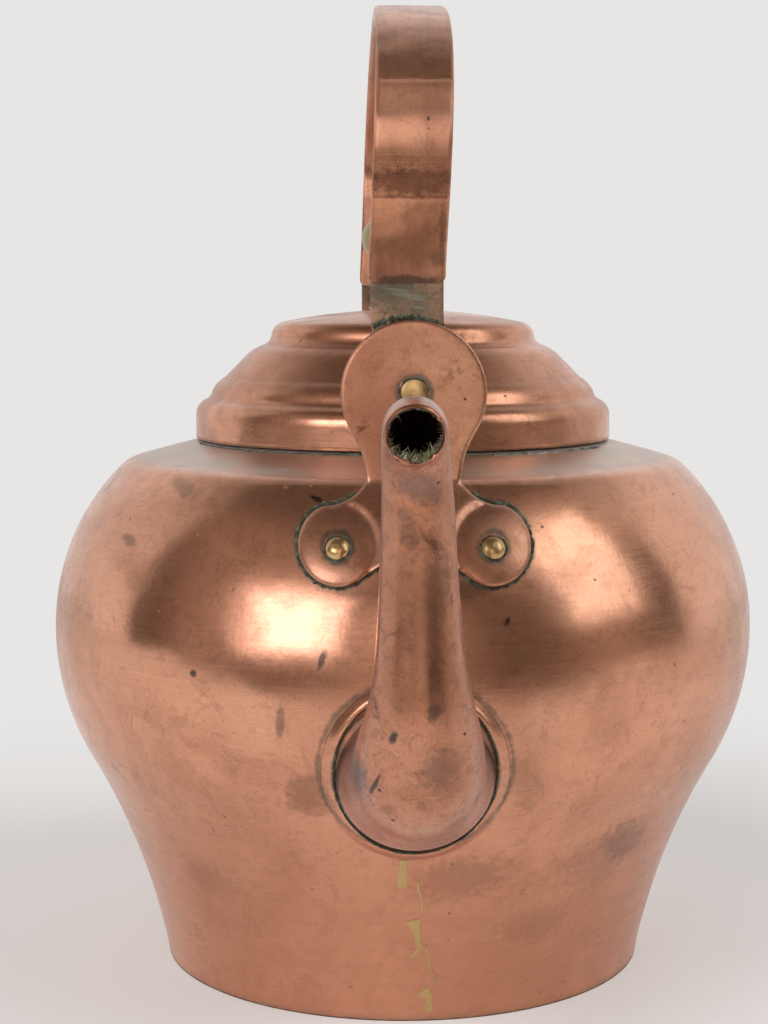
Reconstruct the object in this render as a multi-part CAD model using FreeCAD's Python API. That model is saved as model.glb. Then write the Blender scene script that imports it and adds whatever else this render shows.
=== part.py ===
"""Copper kettle with a swan-neck spout, a stepped lift-off lid and a swinging strap handle.

Millimetres, +Z up. The origin is the centre of the foot, on the surface the kettle stands on.
The spout points to -Y and the handle lies in the YZ plane.
"""
import math
import os

import FreeCAD
import Part

V = FreeCAD.Vector
UP = V(0, 0, 1)
RIGHT = V(1, 0, 0)

# Body: one raised sheet, turned about Z
WALL = 1.2
FOOT_R = 82.5
BELLY_R = 120.0
BELLY_Z = 115.0
FOLD_R = 95.0
FOLD_Z = 171.6
SHOULDER_RISE = math.tan(math.radians(15))
BASE_T = 1.5

# Neck and lid
NECK_R = 67.2
NECK_T = 1.2
NECK_BOTTOM = 173.0
NECK_TOP = 191.0
LID_R = 71.3
LID_BOTTOM = 178.9
LID_T = 1.2
LID_TOP = 222.6
FLANGE_R = 65.6
FLANGE_T = 0.9
FLANGE_BOTTOM = 170.0

# Knob
KNOB_Z = 247.0
KNOB_R = 14.0
KNOB_H = 16.0
STUD_R = 2.4

# Handle pivot, the same at the front and the rear
PIVOT_Z = 198.8
PIN_R = 3.4
PIN_HEAD_R = 4.1
PIN_CLEAR = 0.05
BRACKET_T = 2.6
BRACKET_Y = 95.0
DISC_R = 21.8
DISC_Z = 198.4
SPACER_R = 8.5
SPACER_T = 0.9
GAP = 0.3
EAR_T = 3.0
EAR_W = 21.8
BURR_R = 7.0
BURR_T = 1.4
LOBE_X = 23.0
LOBE_Z = 154.4
LOBE_R = 11.5
RIVET_X = 22.4
RIVET_Z = 152.6
RIVET_R = 2.3
RIVET_HEAD_R = 3.6

# Handle grip: a folded, hollow strap
GRIP_W = 23.2
GRIP_T = 4.8
GRIP_WALL = 0.8
GRIP_BOTTOM = 231.0
EAR_TOP = 256.0
GRIP_LEG = [(94.6, GRIP_BOTTOM), (95.4, 243.0), (99.0, 260.0), (100.5, 275.0), (95.0, 290.5),
            (79.0, 305.0), (45.0, 318.0)]
GRIP_TOP = 323.8

# Spout: centre and outer radius of each round section, from the body to the mouth
SPOUT_WALL = 1.2
SPOUT_TILT = 12.0
SPOUT_ROOT = V(0, -116, 88.3)
SPOUT = [(0, -100, 84.6, 25.4), (0, -114, 87.6, 24.3), (0, -121.5, 89.4, 21.8), (0, -131, 92.0, 19.8),
         (0, -142.5, 101.2, 18.4), (-0.1, -150.3, 117.5, 14.6), (-0.5, -152.5, 137, 12.0), (-1.0, -155, 158, 10.7),
         (-1.5, -158.5, 174.5, 9.9), (-2.1, -163, 185.5, 9.4), (-2.7, -171, 191.9, 9.0),
         (-3.1, -179.5, 193.6, 8.6), (-3.3, -187, 192.3, 8.4)]
COLLAR_IN = 24.6
COLLAR_OUT = 28.2
COLLAR_H = 2.2


def path(start, *steps):
    """Wire in the XZ plane. A step is an end point, or a middle and an end point for an arc."""
    edges = []
    here = V(start[0], 0, start[1])
    for step in steps:
        points = [V(step[i], 0, step[i + 1]) for i in range(0, len(step), 2)]
        if len(points) == 1:
            edges.append(Part.LineSegment(here, points[0]).toShape())
        else:
            edges.append(Part.Arc(here, points[0], points[1]).toShape())
        here = points[-1]
    return Part.Wire(edges)


def crown(r, edge_z, top_z):
    """Arc step from radius r at edge_z to the axis at top_z, with its centre on the axis."""
    rise = top_z - edge_z
    ball_r = (r * r + rise * rise) / (2 * rise)
    half = math.asin(r / abs(ball_r)) / 2
    return abs(ball_r) * math.sin(half), top_z - ball_r + ball_r * math.cos(half), 0, top_z


def turned(face):
    """Solid of revolution about Z."""
    return face.revolve(V(0, 0, 0), UP, 360)


def ring(r_in, r_out, z_low, z_high):
    """Plain ring, or a disc when r_in is 0, about Z."""
    solid = Part.makeCylinder(r_out, z_high - z_low, V(0, 0, z_low))
    if r_in > 0:
        solid = solid.cut(Part.makeCylinder(r_in, z_high - z_low, V(0, 0, z_low)))
    return solid


def sheet(wire, offset):
    """Face between an open outline and the same outline moved sideways by offset."""
    edges = wire.makeOffset2D(offset, 0, True, True, False).OuterWire.Edges
    return Part.Face(Part.Wire(Part.__sortEdges__(edges)))


def mirrored(solid):
    """The same piece at the rear."""
    return solid.mirror(V(0, 0, 0), V(0, 1, 0))


def shoulder_z(r):
    """Height of the sloping shoulder at radius r."""
    return FOLD_Z + (FOLD_R - r) * SHOULDER_RISE


def body_outline():
    """Outer profile of the body, from the foot to the edge of the neck hole."""
    return path((FOOT_R, 0), (93.7, 40.0, 107.6, 70.0), (116.7, 91.0, BELLY_R, BELLY_Z),
                (115.5, 141.0, 96.7, 170.0), (94.9, 171.32, 92.8, shoulder_z(92.8)),
                (NECK_R, shoulder_z(NECK_R)))


def body_block():
    """Body as one full block."""
    ends = [V(NECK_R, 0, shoulder_z(NECK_R)), V(0, 0, shoulder_z(NECK_R)), V(0, 0, 0), V(FOOT_R, 0, 0)]
    return turned(Part.Face(Part.Wire(body_outline().Edges + Part.makePolygon(ends).Edges)))


def body_skin(thickness):
    """Layer of the given thickness on the outside of the body."""
    return turned(sheet(body_outline(), -thickness))


def lid_outline():
    """Outer profile of the lid, from the lower edge of its band to the middle of its top."""
    return path((LID_R, LID_BOTTOM), (LID_R, 187.3), (70.7, 189.5, 68.4, 191.8),
                (66.6, 193.0, 65.7, 194.9), (64.2, 197.3, 61.2, 199.7), (53.6, 207.4),
                (51.4, 209.1, 48.6, 210.5), (46.3, 211.8, 45.3, 213.9), (44.2, 216.6, 41.2, 218.5),
                crown(41.2, 218.5, LID_TOP))


def spout_direction():
    """Unit vector along the first stretch of the spout."""
    tilt = math.radians(SPOUT_TILT)
    return V(0, -math.cos(tilt), math.sin(tilt))


def spout_tube(thinner):
    """Swan-neck lofted through round sections, each thinner than the outside by the given amount."""
    centres = [V(*row[:3]) for row in SPOUT]
    axis = Part.BSplineCurve()
    axis.interpolate(centres)
    rounds = []
    for centre, row in zip(centres, SPOUT):
        along = axis.tangent(axis.parameter(centre))[0]
        rounds.append(Part.Wire(Part.makeCircle(row[3] - thinner, centre, along)))
    return Part.makeLoft(rounds, True, False)


def bracket_face():
    """Trefoil outline of a bracket in the XZ plane: one disc above, two lobes below."""
    turn = math.radians(32)
    side = (DISC_R * math.cos(turn), DISC_Z - DISC_R * math.sin(turn))
    over = math.radians(70)
    lobe = (LOBE_X + LOBE_R * math.cos(over), LOBE_Z + LOBE_R * math.sin(over))
    under = math.radians(-130)
    inner = (LOBE_X + LOBE_R * math.cos(under), LOBE_Z + LOBE_R * math.sin(under))
    tip = (LOBE_X + LOBE_R * math.cos(-0.6), LOBE_Z + LOBE_R * math.sin(-0.6))
    arch = inner[1] + inner[0] * math.tan(math.radians(20))
    half = path((0, DISC_Z + DISC_R), (DISC_R, DISC_Z, side[0], side[1]), (15.4, 180.0, 14.2, 172.0),
                (19.3, 167.2, lobe[0], lobe[1]), (tip[0], tip[1], inner[0], inner[1]),
                (8.6, arch - 1.6, 0, arch))
    other = half.mirror(V(0, 0, 0), RIGHT)
    return Part.Face(Part.Wire(Part.__sortEdges__(half.Edges + other.Edges)))


def front_bracket(block):
    """Trefoil plate: its lobes lie on the wall and its disc stands up from the fold."""
    lobes = bracket_face().extrude(V(0, -2 * BELLY_R, 0)).common(body_skin(BRACKET_T))
    lobes = lobes.common(Part.makeBox(200, 200, FOLD_Z, V(-100, -200, 0)))
    disc = bracket_face().extrude(V(0, -BRACKET_T, 0))
    disc.translate(V(0, -BRACKET_Y, 0))
    disc = disc.common(Part.makeBox(200, 200, 100, V(-100, -200, FOLD_Z - 0.8)))
    plate = lobes.fuse(disc.cut(block)).removeSplitter()
    hole = Part.makeCylinder(PIN_R, 20, V(0, -BRACKET_Y - 10, PIVOT_Z), V(0, 1, 0))
    return plate.cut(hole)


def wall_direction(x, z):
    """Place on the upper wall at x and z, at the front, and the outward direction there."""
    bow = (BELLY_R - FOLD_R) ** 2 + (FOLD_Z - BELLY_Z) ** 2
    bow_r = bow / (2 * (BELLY_R - FOLD_R))
    r = BELLY_R - bow_r + math.sqrt(bow_r ** 2 - (z - BELLY_Z) ** 2)
    place = V(x, -math.sqrt(r * r - x * x), z)
    slope = (z - BELLY_Z) / bow_r
    level = math.sqrt(1 - slope * slope)
    return place, V(place.x / r * level, place.y / r * level, slope)


def dome(radius, height, base, outward):
    """Domed rivet head: the cap of a sphere standing on a face."""
    ball_r = (radius ** 2 + height ** 2) / (2 * height)
    ball = Part.makeSphere(ball_r, base + outward * (height - ball_r))
    return ball.common(Part.makeCylinder(radius, height, base, outward))


def rivet(x):
    """Rivet through bracket and wall: domed head outside, short shank inside."""
    place, out = wall_direction(x, RIVET_Z)
    foot = place - out * (WALL + 1.6)
    shank = Part.makeCylinder(RIVET_R, WALL + 1.6 + BRACKET_T, foot, out)
    return shank.fuse(dome(RIVET_HEAD_R, 2.0, place + out * BRACKET_T, out)).removeSplitter()


def burr(x):
    """Small washer under the rivet's inner end."""
    place, out = wall_direction(x, RIVET_Z)
    base = place - out * (WALL + 1.2)
    washer = Part.makeCylinder(4.6, 1.0, base, out)
    return washer.cut(Part.makeCylinder(RIVET_R, 1.0, base, out))


def along_pivot(radius, y_from, y_to):
    """Round piece on the handle's axis at the front, between two distances from the middle."""
    return Part.makeCylinder(radius, y_to - y_from, V(0, -y_from, PIVOT_Z), V(0, -1, 0))


def pivot_stack():
    """Pin, spacer and burr at the front, with the distances of the ear between them."""
    ear_out = BRACKET_Y - SPACER_T - GAP
    ear_in = ear_out - EAR_T
    burr_out = ear_in - GAP
    burr_in = burr_out - BURR_T
    face = BRACKET_Y + BRACKET_T
    tail_r = PIN_R + 1.0
    outline = path((0, burr_in - 1.0), (tail_r - 0.5, burr_in - 1.0), (tail_r, burr_in), (PIN_R, burr_in),
                   (PIN_R, face), (PIN_HEAD_R, face), crown(PIN_HEAD_R, face, face + 1.1),
                   (0, burr_in - 1.0))
    pin = turned(Part.Face(outline))
    pin.rotate(V(0, 0, 0), RIGHT, 90)
    pin.translate(V(0, 0, PIVOT_Z))
    spacer = along_pivot(SPACER_R, BRACKET_Y - SPACER_T, BRACKET_Y)
    spacer = spacer.cut(along_pivot(PIN_R, 0, BRACKET_Y))
    washer = along_pivot(BURR_R, burr_in, burr_out).cut(along_pivot(PIN_R, 0, BRACKET_Y))
    return pin, spacer, washer, ear_in, ear_out


def grip_curve(depth):
    """Line of the strap in the YZ plane, at the given depth under its outer face."""
    front = [V(0, -y, z) for y, z in GRIP_LEG]
    rear = [V(0, y, z) for y, z in reversed(GRIP_LEG)]
    outer = Part.BSplineCurve()
    outer.interpolate(front + [V(0, 0, GRIP_TOP)] + rear)
    count = 48
    points = []
    for i in range(count + 1):
        u = outer.FirstParameter + (outer.LastParameter - outer.FirstParameter) * i / count
        along = outer.tangent(u)[0]
        points.append(outer.value(u) + V(0, along.z, -along.y) * depth)
    line = Part.BSplineCurve()
    line.interpolate(points)
    return line


def strap(outer_depth, inner_depth, width):
    """Band that follows the handle between two depths."""
    near = grip_curve(outer_depth)
    far = grip_curve(inner_depth)
    starts = Part.LineSegment(near.StartPoint, far.StartPoint).toShape()
    ends = Part.LineSegment(near.EndPoint, far.EndPoint).toShape()
    face = Part.Face(Part.Wire(Part.__sortEdges__([near.toShape(), ends, far.toShape(), starts])))
    band = face.extrude(V(width, 0, 0))
    band.translate(V(-width / 2, 0, 0))
    return band


def long_edges(solid):
    """The two outer and two inner edges that run the length of a band."""
    return [edge for edge in solid.Edges if edge.Length > 4 * GRIP_W]


def handle_grip():
    """Hollow folded strap, open at both ends where the ears go in."""
    outside = strap(0, GRIP_T, GRIP_W)
    outside = outside.makeFillet(1.2, long_edges(outside))
    return outside.cut(strap(GRIP_WALL, GRIP_T - GRIP_WALL, EAR_W))


def front_ear(ear_in, ear_out):
    """Flat tongue with a round eye below, running up inside the grip."""
    low = Part.makeCylinder(EAR_W / 2, EAR_T, V(0, -ear_in, PIVOT_Z), V(0, -1, 0))
    flat = Part.makeBox(EAR_W, EAR_T, GRIP_BOTTOM - PIVOT_Z, V(-EAR_W / 2, -ear_out, PIVOT_Z))
    inside = strap(GRIP_WALL + 0.05, GRIP_WALL + 0.05 + EAR_T, EAR_W - 0.1)
    inside = inside.common(Part.makeBox(EAR_W, 60, EAR_TOP - GRIP_BOTTOM, V(-EAR_W / 2, -110, GRIP_BOTTOM)))
    eye = along_pivot(PIN_R + PIN_CLEAR, 0, BELLY_R)
    return low.fuse([flat, inside]).removeSplitter().cut(eye)


def lid_knob():
    """Flattened brass ball on a short waisted stem."""
    top = KNOB_Z + KNOB_H / 2
    low = KNOB_Z - KNOB_H / 2
    wire = path((0, LID_TOP + 3.0), (6.2, LID_TOP + 3.0), (4.4, LID_TOP + 6.0, 4.6, low - 4.0),
                (5.6, low - 1.2, 8.6, low + 1.6), (12.9, low + 4.2, KNOB_R, KNOB_Z),
                (13.2, KNOB_Z + 3.4, 10.6, top - 2.0), crown(10.6, top - 2.0, top), (0, LID_TOP + 3.0))
    return turned(Part.Face(wire))


def knob_base():
    """Brass rose between the lid and the knob."""
    wire = path((0, LID_TOP), (10.6, LID_TOP), (11.6, LID_TOP + 0.7, 10.8, LID_TOP + 1.4),
                (8.0, LID_TOP + 1.9, 6.6, LID_TOP + 3.0), (0, LID_TOP + 3.0), (0, LID_TOP))
    rose = turned(Part.Face(wire))
    return rose.cut(lid_under())


def lid_under():
    """Everything under the lid's outer face."""
    wire = lid_outline()
    ends = [V(0, 0, LID_TOP), V(0, 0, FLANGE_BOTTOM), V(LID_R, 0, FLANGE_BOTTOM), V(LID_R, 0, LID_BOTTOM)]
    return turned(Part.Face(Part.Wire(wire.Edges + Part.makePolygon(ends).Edges)))


def spout_collar():
    """Raised ring on the wall round the root of the spout."""
    along = spout_direction()
    start = SPOUT_ROOT - along * 40
    tube = Part.makeCylinder(COLLAR_OUT, 80, start, along)
    tube = tube.cut(Part.makeCylinder(COLLAR_IN, 80, start, along))
    front = Part.makeBox(200, 200, 200, V(-100, -200, 0))
    return body_skin(COLLAR_H).common(tube).common(front)


def build():
    """Every piece, by node name."""
    block = body_block()
    along = spout_direction()
    parts = {}

    shell = turned(sheet(body_outline(), WALL))
    spout_hole = Part.makeCylinder(21.0, 60, SPOUT_ROOT - along * 30, along)
    rivets = [rivet(-RIVET_X), rivet(RIVET_X)]
    collar = ring(NECK_R - NECK_T, NECK_R, NECK_BOTTOM, NECK_TOP)
    shell = shell.cut([spout_hole, collar])
    for solid in rivets:
        shell = shell.cut([solid, mirrored(solid)])
    parts["body_shell"] = shell

    inner_foot = ring(0, FOOT_R + 5, 0, BASE_T).common(block)
    parts["base_disc"] = inner_foot.cut(turned(sheet(body_outline(), WALL)))
    parts["base_solder"] = turned(Part.Face(path((FOOT_R - 3.1, BASE_T), (FOOT_R - 1.0, BASE_T),
                                                 (FOOT_R - 0.7, BASE_T + 1.8), (FOOT_R - 3.1, BASE_T))))

    parts["neck_collar"] = collar
    top = shoulder_z(NECK_R)
    parts["neck_solder"] = turned(Part.Face(path((NECK_R, top), (NECK_R + 2.2, shoulder_z(NECK_R + 2.2)),
                                                 (NECK_R, top + 2.2), (NECK_R, top))))

    tube = spout_tube(0).cut(spout_tube(SPOUT_WALL))
    parts["spout"] = tube.cut(block)
    parts["spout_collar"] = spout_collar().cut(spout_tube(0))

    plate = front_bracket(block)
    for solid in rivets:
        plate = plate.cut(solid)
    pin, spacer, washer, ear_in, ear_out = pivot_stack()
    ear = front_ear(ear_in, ear_out)
    front = {"bracket": plate, "bracket_rivets": Part.makeCompound(rivets),
             "rivet_burrs": Part.makeCompound([burr(-RIVET_X), burr(RIVET_X)]),
             "pivot_pin": pin, "pivot_spacer": spacer, "pivot_burr": washer, "handle_ear": ear}
    for name, solid in front.items():
        parts["front_" + name] = solid
        parts["rear_" + name] = mirrored(solid)
    parts["handle_grip"] = handle_grip()

    stud = ring(0, STUD_R, LID_TOP - 6.0, LID_TOP + 12.0)
    parts["lid_shell"] = turned(sheet(lid_outline(), LID_T)).cut(stud)
    flange = ring(FLANGE_R - FLANGE_T, FLANGE_R, FLANGE_BOTTOM, LID_TOP)
    parts["lid_flange"] = flange.common(lid_under()).cut(turned(sheet(lid_outline(), LID_T)))
    parts["knob_base"] = knob_base().cut(stud)
    parts["lid_knob"] = lid_knob().cut(stud)
    parts["knob_stud"] = stud
    nut = ring(STUD_R, 6.0, LID_TOP - LID_T - 2.2, LID_TOP - LID_T - 0.2)
    parts["knob_nut"] = nut
    return parts


if __name__ == "__main__":
    os.makedirs("parts", exist_ok=True)
    for node, shape in build().items():
        box = shape.BoundBox
        print(node, shape.isValid(), len(shape.Solids), round(shape.Volume, 1),
              [round(v, 1) for v in (box.XMin, box.XMax, box.YMin, box.YMax, box.ZMin, box.ZMax)])
        shape.exportStep("parts/" + node + ".step")
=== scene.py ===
"""Looks of the copper kettle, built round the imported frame. Lengths in the helpers are millimetres."""
import math
import random

import bmesh
import bpy
import numpy as np
from mathutils import Matrix, Vector, geometry, noise


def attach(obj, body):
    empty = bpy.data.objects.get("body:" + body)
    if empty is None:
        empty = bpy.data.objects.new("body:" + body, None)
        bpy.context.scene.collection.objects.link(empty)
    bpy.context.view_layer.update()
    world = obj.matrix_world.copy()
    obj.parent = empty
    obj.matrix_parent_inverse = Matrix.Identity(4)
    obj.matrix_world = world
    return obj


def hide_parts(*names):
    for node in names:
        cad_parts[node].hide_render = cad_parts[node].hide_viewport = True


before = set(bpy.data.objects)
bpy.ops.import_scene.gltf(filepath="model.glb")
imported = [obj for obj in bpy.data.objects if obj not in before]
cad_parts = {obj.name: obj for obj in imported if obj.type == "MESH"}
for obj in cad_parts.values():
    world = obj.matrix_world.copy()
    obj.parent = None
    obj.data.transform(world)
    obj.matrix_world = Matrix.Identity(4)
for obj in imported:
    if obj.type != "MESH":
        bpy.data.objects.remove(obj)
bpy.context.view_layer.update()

MM = 0.001
BODY, HANDLE, LID = "kettle_body", "handle", "lid"

# Body wall
WALL = 1.2
FOOT_R, BELLY_R, BELLY_Z = 82.5, 120.0, 115.0
FOLD_R, FOLD_Z = 95.0, 171.6
SHOULDER_RISE = math.tan(math.radians(15))
BOW_R = ((BELLY_R - FOLD_R) ** 2 + (FOLD_Z - BELLY_Z) ** 2) / (2 * (BELLY_R - FOLD_R))
DENT = 0.22
BODY_TURNS = 288

# Neck, lid and knob
NECK_R = 67.2
LID_R, LID_BOTTOM, LID_TOP, LID_T = 71.3, 178.9, 222.6, 1.2
KNOB_Z, KNOB_R, KNOB_H = 247.0, 14.0, 16.0

# Brackets and pivot
PIVOT_Z = 198.8
BRACKET_Y, BRACKET_T = 95.0, 2.6
DISC_R, DISC_Z = 21.8, 198.4
LOBE_X, LOBE_Z, LOBE_R = 23.0, 154.4, 11.5
RIVET_X, RIVET_Z = 22.4, 152.6
EAR_OUT, EAR_T, EAR_W = 93.8, 3.0, 21.8

# Handle grip: outer face of the front leg (distance to the front, height), and the top
GRIP_W, GRIP_T, GRIP_WALL, GRIP_BOTTOM = 23.2, 4.8, 0.8, 231.0
GRIP_LEG = [(94.6, GRIP_BOTTOM), (95.4, 243.0), (99.0, 260.0), (100.5, 275.0), (95.0, 290.5),
            (79.0, 305.0), (45.0, 318.0)]
GRIP_TOP = 323.8

# Spout: centre and radius of its round sections
SPOUT_WALL = 1.2
SPOUT_TILT = math.radians(12.0)
SPOUT_WAY = Vector((0, -math.cos(SPOUT_TILT), math.sin(SPOUT_TILT)))
SPOUT_ROOT, SPOUT_HOLE_R = Vector((0, -116, 88.3)), 21.0
SPOUT = [(0, -100, 84.6, 25.4), (0, -114, 87.6, 24.3), (0, -121.5, 89.4, 21.8), (0, -131, 92.0, 19.8),
         (0, -142.5, 101.2, 18.4), (-0.1, -150.3, 117.5, 14.6), (-0.5, -152.5, 137, 12.0),
         (-1.0, -155, 158, 10.7), (-1.5, -158.5, 174.5, 9.9), (-2.1, -163, 185.5, 9.4),
         (-2.7, -171, 191.9, 9.0), (-3.1, -179.5, 193.6, 8.6), (-3.3, -187, 192.3, 8.4)]
COLLAR_IN, COLLAR_OUT, COLLAR_LOW = 24.6, 28.2, 27.0


# ---------------------------------------------------------------- outlines

def arc(a, b, c, step):
    """Points from a to c on the circle through a, b and c, without a itself."""
    (ax, ay), (bx, by), (cx, cy) = a, b, c
    d = 2 * (ax * (by - cy) + bx * (cy - ay) + cx * (ay - by))
    aa, bb, cc = ax * ax + ay * ay, bx * bx + by * by, cx * cx + cy * cy
    ux = (aa * (by - cy) + bb * (cy - ay) + cc * (ay - by)) / d
    uy = (aa * (cx - bx) + bb * (ax - cx) + cc * (bx - ax)) / d
    r = math.hypot(ax - ux, ay - uy)
    start = math.atan2(ay - uy, ax - ux)
    sweep = math.atan2(cy - uy, cx - ux) - start
    through = (math.atan2(by - uy, bx - ux) - start) % math.tau
    sweep %= math.tau
    if through > sweep:
        sweep -= math.tau
    count = max(3, math.ceil(abs(sweep) * r / step))
    turns = [start + sweep * i / count for i in range(1, count + 1)]
    return [(ux + r * math.cos(t), uy + r * math.sin(t)) for t in turns]


def straight(a, b, count):
    """Points on the line from a to b, b with them and a not."""
    return [(a[0] + (b[0] - a[0]) * i / count, a[1] + (b[1] - a[1]) * i / count) for i in range(1, count + 1)]


def outline(start, *steps, step=1.5):
    """Polyline through straight steps (x, y) and arc steps (middle x, y, end x, y)."""
    points = [start]
    for s in steps:
        if len(s) == 4:
            points += arc(points[-1], s[:2], s[2:], step)
            continue
        points += straight(points[-1], s, max(1, math.ceil(math.dist(points[-1], s) / step)))
    return points


def offset(points, distance, closed=False):
    """The polyline moved to its left by distance."""
    p = np.array(points, float)
    ahead, back = np.roll(p, -1, 0), np.roll(p, 1, 0)
    if not closed:
        ahead[-1], back[0] = p[-1], p[0]
    along = ahead - back
    along /= np.linalg.norm(along, axis=1)[:, None]
    return [tuple(q) for q in p + np.stack([-along[:, 1], along[:, 0]], 1) * distance]


def sheet_section(points, thickness):
    """Closed section of a sheet with round edges, and the outward direction at each of its points."""
    outer = np.array(points, float)
    inner = np.array(offset(points, thickness))
    out = (outer - inner) / thickness
    loop, ways = [tuple(q) for q in outer], list(out)
    for end, inward in ((-1, -2), (0, 1)):
        if outer[end][0] > 1e-6:
            run = outer[end] - outer[inward]
            nose = (outer[end] + inner[end]) / 2 + run / np.linalg.norm(run) * thickness * 0.35
            loop.append(tuple(nose))
            ways.append(out[end])
        if end == -1:
            loop += [tuple(q) for q in inner[::-1]]
            ways += list(out[::-1])
    return loop, ways


def spline(points, count):
    """Natural cubic spline through points, by chord length: count places and directions."""
    p = np.array(points, float)
    t = np.concatenate([[0], np.cumsum(np.linalg.norm(np.diff(p[:, :3], axis=0), axis=1))])
    n, h = len(p), np.diff(t)
    system = np.eye(n)
    right = np.zeros_like(p)
    for i in range(1, n - 1):
        system[i, i - 1:i + 2] = h[i - 1], 2 * (h[i - 1] + h[i]), h[i]
        right[i] = 6 * ((p[i + 1] - p[i]) / h[i] - (p[i] - p[i - 1]) / h[i - 1])
    m = np.linalg.solve(system, right)
    s = np.linspace(0, t[-1], count)
    k = np.clip(np.searchsorted(t, s, side="right") - 1, 0, n - 2)
    a, b, w = (t[k + 1] - s)[:, None], (s - t[k])[:, None], h[k][:, None]
    place = (m[k] * a ** 3 + m[k + 1] * b ** 3) / (6 * w)
    place += (p[k] / w - m[k] * w / 6) * a + (p[k + 1] / w - m[k + 1] * w / 6) * b
    along = (-m[k] * a ** 2 + m[k + 1] * b ** 2) / (2 * w) + (p[k + 1] - p[k]) / w - (m[k + 1] - m[k]) * w / 6
    along /= np.linalg.norm(along[:, :3], axis=1)[:, None]
    return place, along


# ---------------------------------------------------------------- meshes

def piece(name, verts, faces, body, material, replaces=(), sharp=35):
    """A finished object from millimetre vertices that rides on a body."""
    mesh = bpy.data.meshes.new(name)
    mesh.from_pydata([tuple(c * MM for c in v) for v in verts], [], faces)
    mesh.validate()
    tidy = bmesh.new()
    tidy.from_mesh(mesh)
    bmesh.ops.remove_doubles(tidy, verts=tidy.verts, dist=1e-7)
    bmesh.ops.recalc_face_normals(tidy, faces=tidy.faces)
    tidy.to_mesh(mesh)
    tidy.free()
    mesh.shade_smooth()
    mesh.set_sharp_from_angle(angle=math.radians(sharp))
    mesh.materials.append(material)
    obj = bpy.data.objects.new(name, mesh)
    bpy.context.scene.collection.objects.link(obj)
    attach(obj, body)
    if replaces:
        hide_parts(*replaces)
    return obj


def grid_faces(rows, columns, close_rows=False, close_columns=False):
    """Quads between rows x columns points that are numbered row by row."""
    faces = []
    for i in range(rows if close_rows else rows - 1):
        for j in range(columns if close_columns else columns - 1):
            a, b = i * columns + j, i * columns + (j + 1) % columns
            k = (i + 1) % rows
            faces.append((a, b, k * columns + (j + 1) % columns, k * columns + j))
    return faces


def lathe(section, turns, closed):
    """Vertices and faces of a section (r, z) turned about Z."""
    verts = []
    for r, z in section:
        r = max(r, 0.0)
        verts += [(r * math.sin(math.tau * j / turns), -r * math.cos(math.tau * j / turns), z)
                  for j in range(turns)]
    return verts, grid_faces(len(section), turns, closed, True)


def dent(point, size=DENT, spread=26.0):
    """How far a hand-worked sheet lies under its true surface at a point."""
    wide = noise.noise(Vector(point) / spread)
    small = noise.noise(Vector(point) / (spread * 0.34) + Vector((7, 3, 1)))
    return size * (0.5 + 0.5 * wide + 0.22 * small)


def bow(z, h=0.0):
    """Radius of the upper wall at height z, h above its surface."""
    return BELLY_R - BOW_R + math.sqrt(max((BOW_R + h) ** 2 - (z - BELLY_Z) ** 2, 0))


body_line = outline((FOOT_R - 0.7, 0), (FOOT_R - 0.2, 0.15, FOOT_R + 0.15, 0.8),
                    (93.7, 40.0, 107.6, 70.0), (116.7, 91.0, BELLY_R, BELLY_Z),
                    (115.5, 141.0, 96.7, 170.0),
                    (94.9, 171.32, 92.8, FOLD_Z + (FOLD_R - 92.8) * SHOULDER_RISE),
                    (NECK_R, FOLD_Z + (FOLD_R - NECK_R) * SHOULDER_RISE), step=1.8)


def wall_radius(z):
    """Radius of the body's outer surface at height z, below the fold."""
    line = [p for p in body_line if p[1] <= FOLD_Z]
    return float(np.interp(z, [p[1] for p in line], [p[0] for p in line]))


def on_wall(x, z, h):
    """Point h outside the dented wall at x and z, at the front."""
    r = wall_radius(z)
    y = -math.sqrt(r * r - x * x)
    slope = wall_radius(z + 0.5) - wall_radius(z - 0.5)
    out = Vector((x / r, y / r, -slope)).normalized()
    point = Vector((x, y, z))
    return point + out * (h - dent(point))


def sheet_lathe(points, thickness, turns, sink):
    """A dented sheet turned about Z. sink(point) says how far it lies under its true surface."""
    loop, ways = sheet_section(points, thickness)
    verts = []
    for (r, z), (nr, nz) in zip(loop, ways):
        r = max(r, 0.0)
        for j in range(turns):
            s, c = math.sin(math.tau * j / turns), -math.cos(math.tau * j / turns)
            d = sink((r * s, r * c, z))
            verts.append((r * s - nr * s * d, r * c - nr * c * d, z - nz * d))
    return verts, grid_faces(len(loop), turns, True, True)


def inside(point, loop):
    """Whether a point lies in a closed polyline."""
    x, y = point
    hit = False
    for (x1, y1), (x2, y2) in zip(loop, loop[1:] + loop[:1]):
        if (y1 > y) != (y2 > y) and x < (x2 - x1) * (y - y1) / (y2 - y1) + x1:
            hit = not hit
    return hit


def fill(loop, hole, pitch):
    """Triangles over the area between two closed polylines, with a grid of points inside."""
    xs, ys = [q[0] for q in loop], [q[1] for q in loop]
    points = [Vector(q) for q in loop + hole]
    n, m = len(loop), len(hole)
    edges = [(i, (i + 1) % n) for i in range(n)] + [(n + i, n + (i + 1) % m) for i in range(m)]
    for i in range(int((max(xs) - min(xs)) / pitch)):
        for j in range(int((max(ys) - min(ys)) / pitch)):
            q = (min(xs) + (i + 0.5 + 0.5 * (j % 2)) * pitch, min(ys) + (j + 0.5) * pitch)
            near = min(math.dist(q, w) for w in loop + hole)
            if near > pitch * 0.55 and inside(q, loop) and not (hole and inside(q, hole)):
                points.append(Vector(q))
    verts, _, faces, *_ = geometry.delaunay_2d_cdt(points, edges, [], 5 if hole else 1, 1e-5)
    return [tuple(v) for v in verts], [tuple(f) for f in faces]


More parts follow.
